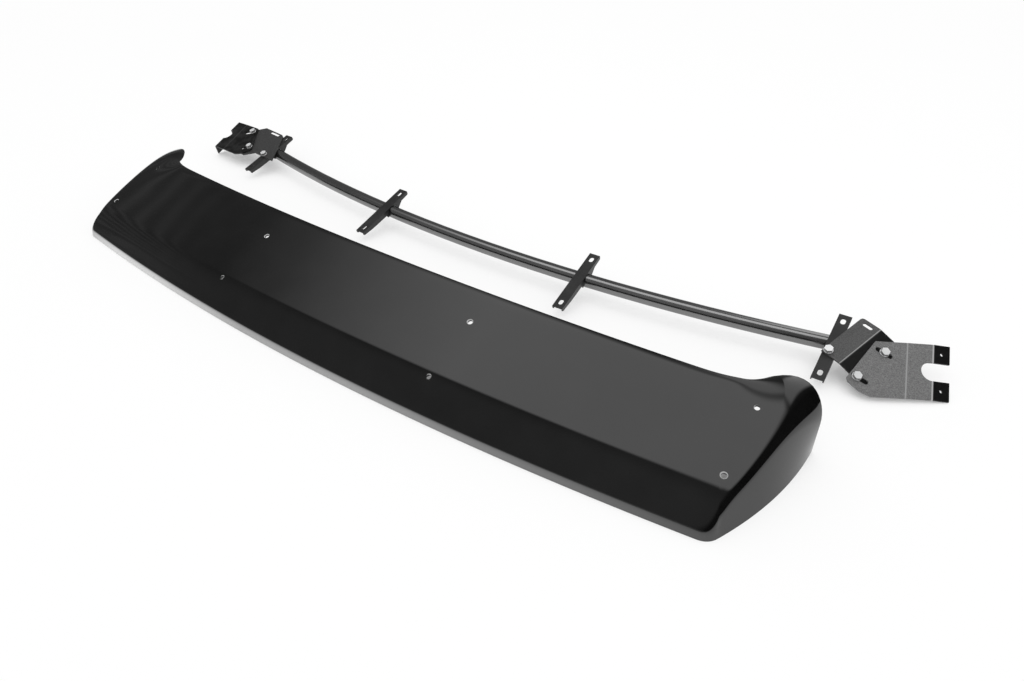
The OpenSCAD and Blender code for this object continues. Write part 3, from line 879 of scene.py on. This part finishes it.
def dress_bar():
    """Paint on the tube, brackets, plates and straps, and zinc on all fasteners: plated metal
    with painted shade on the sides of the heads.
    """
    looks = {
        "mounting_tube": tube_black(),
        "left_corner_bracket": left_bracket_black(),
        "right_corner_bracket": right_bracket_painted_light(),
        "left_side_plate": left_plate_black(),
        "right_side_plate": right_plate_painted_light(),
    }
    strap = strap_black()
    metal = zinc()
    for name in nodes:
        if name == "visor_shell":
            continue
        if name in looks:
            paint_node(name, looks[name])
        else:
            paint_node(name, strap if "strap" in name else metal)
        if name != "mounting_tube":
            soften(name)


# Floor, light and camera
def add_plane(name, xs, ys, z):
    (x0, x1), (y0, y1) = xs, ys
    verts = [(x0, y0, z), (x1, y0, z), (x1, y1, z), (x0, y1, z)]
    return add_object(name, new_mesh(name, verts, [(0, 1, 2, 3)]))


def rays(tree, *kinds):
    """1 for a ray of any of these kinds."""
    path = tree.nodes.new("ShaderNodeLightPath")
    share = path.outputs[kinds[0]]
    for kind in kinds[1:]:
        share = math_node(tree, "MAXIMUM", share, path.outputs[kind])
    return share


def mix_shaders(tree, share, first, second):
    node = tree.nodes.new("ShaderNodeMixShader")
    tree.links.new(share, node.inputs[0])
    tree.links.new(first, node.inputs[1])
    tree.links.new(second, node.inputs[2])
    return node.outputs["Shader"]


def floor_white():
    """White to the camera and to gloss where little stands over it, so shadows stay.
    From below it is clear, to show the underside."""
    mat, tree, shader = new_material("floor_white")
    tone = ramp(tree, noise(tree, 2), ((0.3, 0.955), (0.7, 0.965)))
    tree.links.new(tone, shader.inputs["Base Color"])
    shader.inputs["Roughness"].default_value = 1.0
    shader.inputs["Specular IOR Level"].default_value = 0.0
    seen = rays(tree, "Is Camera Ray", "Is Glossy Ray", "Is Transmission Ray")
    sky = tree.nodes.new("ShaderNodeAmbientOcclusion")
    sky.samples = SHADOW_SAMPLES
    sky.inputs["Distance"].default_value = SHADOW_REACH
    open_part = edge(tree, sky.outputs["AO"], SHADOW_DARK, SHADOW_CLEAR)
    share = times(tree, times(tree, seen, open_part), FLOOR_GLOW)
    glow = tree.nodes.new("ShaderNodeEmission")
    above = mix_shaders(tree, share, shader.outputs["BSDF"], glow.outputs["Emission"])
    below = tree.nodes.new("ShaderNodeNewGeometry").outputs["Backfacing"]
    clear = tree.nodes.new("ShaderNodeBsdfTransparent")
    both = mix_shaders(tree, below, above, clear.outputs["BSDF"])
    tree.links.new(both, tree.nodes["Material Output"].inputs["Surface"])
    return mat


def make_floor():
    floor = add_plane("floor", (-FLOOR_HALF, FLOOR_HALF), (-FLOOR_HALF, FLOOR_HALF), 0)
    floor.location.z = -FLOOR_DROP
    floor.data.materials.append(floor_white())


def studio_room(tree):
    """What gloss shows besides the softbox: dim walls that end on the right, a pale wall
    behind and a folded curtain far to the left."""
    x, y, z = split(tree, coordinates(tree, "Generated"))
    walls = ramp(tree, times(tree, plus(tree, x, 1.0), 0.5), WALL_LEVELS)
    forward = edge(tree, y, *FRONT_WALL_Y)
    walls = times(tree, walls, plus(tree, 1.0, times(tree, forward, FRONT_WALL_GAIN)))
    behind = times(tree, edge(tree, y, *PALE_WALL_Y), edge(tree, z, *PALE_WALL_Z))
    pale = times(tree, behind, inside(tree, x, *PALE_WALL_X, PALE_WALL_EDGE))
    pale = times(tree, pale, PALE_WALL_LEVEL)
    folds = tree.nodes.new("ShaderNodeTexWave")
    folds.bands_direction = "Z"
    folds.inputs["Scale"].default_value = CURTAIN_FOLDS
    folds.inputs["Distortion"].default_value = CURTAIN_WAVES
    folds.inputs["Detail"].default_value = 2.0
    tree.links.new(coordinates(tree, "Generated"), folds.inputs["Vector"])
    far_left = edge(tree, x, *CURTAIN_X)
    curtain = times(tree, edge(tree, folds.outputs["Fac"], *CURTAIN_CREST), CURTAIN_LEVEL)
    return plus(tree, plus(tree, walls, pale), times(tree, far_left, curtain))


def softbox_glow():
    mat, tree, shader = new_material("softbox_glow")
    tree.nodes.remove(shader)
    x, y, _ = split(tree, coordinates(tree, "Object"))
    level = ramp(tree, share_between(tree, x, *SOFTBOX_X), SOFTBOX_LEVELS)
    front, back = SOFTBOX_Y
    soft = inside(tree, y, front + SOFTBOX_EDGE, back - SOFTBOX_EDGE, SOFTBOX_EDGE)
    glow = tree.nodes.new("ShaderNodeEmission")
    tree.links.new(times(tree, level, soft), glow.inputs["Strength"])
    clear = tree.nodes.new("ShaderNodeBsdfTransparent")
    both = tree.nodes.new("ShaderNodeAddShader")
    tree.links.new(glow.outputs["Emission"], both.inputs[0])
    tree.links.new(clear.outputs["BSDF"], both.inputs[1])
    tree.links.new(both.outputs["Shader"], tree.nodes["Material Output"].inputs["Surface"])
    return mat


def hang_softbox():
    """A long softbox over the visor. Only gloss shows it; it lights nothing else."""
    box = add_plane("softbox", SOFTBOX_X, SOFTBOX_Y, SOFTBOX_Z)
    box.visible_camera = False
    box.visible_diffuse = False
    box.visible_transmission = False
    box.visible_shadow = False
    box.data.materials.append(softbox_glow())


def make_world():
    """White to the camera and even light on the object, while gloss shows the room."""
    world = bpy.data.worlds.new("studio")
    bpy.context.scene.world = world
    world.use_nodes = True
    tree = world.node_tree
    tree.nodes.clear()
    glossy = rays(tree, "Is Glossy Ray")
    seen = rays(tree, "Is Camera Ray", "Is Transmission Ray")
    room = times(tree, studio_room(tree), glossy)
    light = times(tree, minus(tree, 1.0, glossy), WORLD_LEVEL)
    back = tree.nodes.new("ShaderNodeBackground")
    back.inputs["Color"].default_value = (1, 1, 1, 1)
    strength = math_node(tree, "MAXIMUM", plus(tree, room, light), seen)
    tree.links.new(strength, back.inputs["Strength"])
    out = tree.nodes.new("ShaderNodeOutputWorld")
    tree.links.new(back.outputs["Background"], out.inputs["Surface"])


def hang_ceiling_lamp():
    """A weak lamp that gloss doesn't show, turned towards the middle of the object."""
    lamp = bpy.data.lights.new("ceiling", "AREA")
    lamp.shape = "RECTANGLE"
    lamp.size = CEILING_LENGTH
    lamp.size_y = CEILING_WIDTH
    lamp.energy = CEILING_WATTS
    obj = add_object("ceiling", lamp)
    obj.location = CEILING_AT
    obj.rotation_euler = (-CEILING_AT).to_track_quat("-Z", "Y").to_euler()
    obj.visible_glossy = False


def aim_camera():
    azimuth = math.radians(CAMERA_AZIMUTH)
    elevation = math.radians(CAMERA_ELEVATION)
    roll = math.radians(CAMERA_ROLL)
    back = Vector((
        math.sin(azimuth) * math.cos(elevation),
        -math.cos(azimuth) * math.cos(elevation),
        math.sin(elevation),
    ))
    level = Vector((math.cos(azimuth), math.sin(azimuth), 0))
    rise = back.cross(level)
    right = level * math.cos(roll) + rise * math.sin(roll)
    up = rise * math.cos(roll) - level * math.sin(roll)
    data = bpy.data.cameras.new("camera")
    data.lens = CAMERA_LENS
    data.sensor_width = SENSOR_WIDTH
    data.sensor_fit = "HORIZONTAL"
    data.clip_end = CAMERA_REACH
    camera = add_object("camera", data)
    turn = Matrix((right, up, back)).transposed().to_4x4()
    camera.matrix_world = Matrix.Translation(CAMERA_AT) @ turn
    bpy.context.scene.camera = camera


place_shell()
dress_bar()
make_floor()
make_world()
hang_ceiling_lamp()
hang_softbox()
aim_camera()
bpy.context.scene.view_settings.view_transform = "Standard"
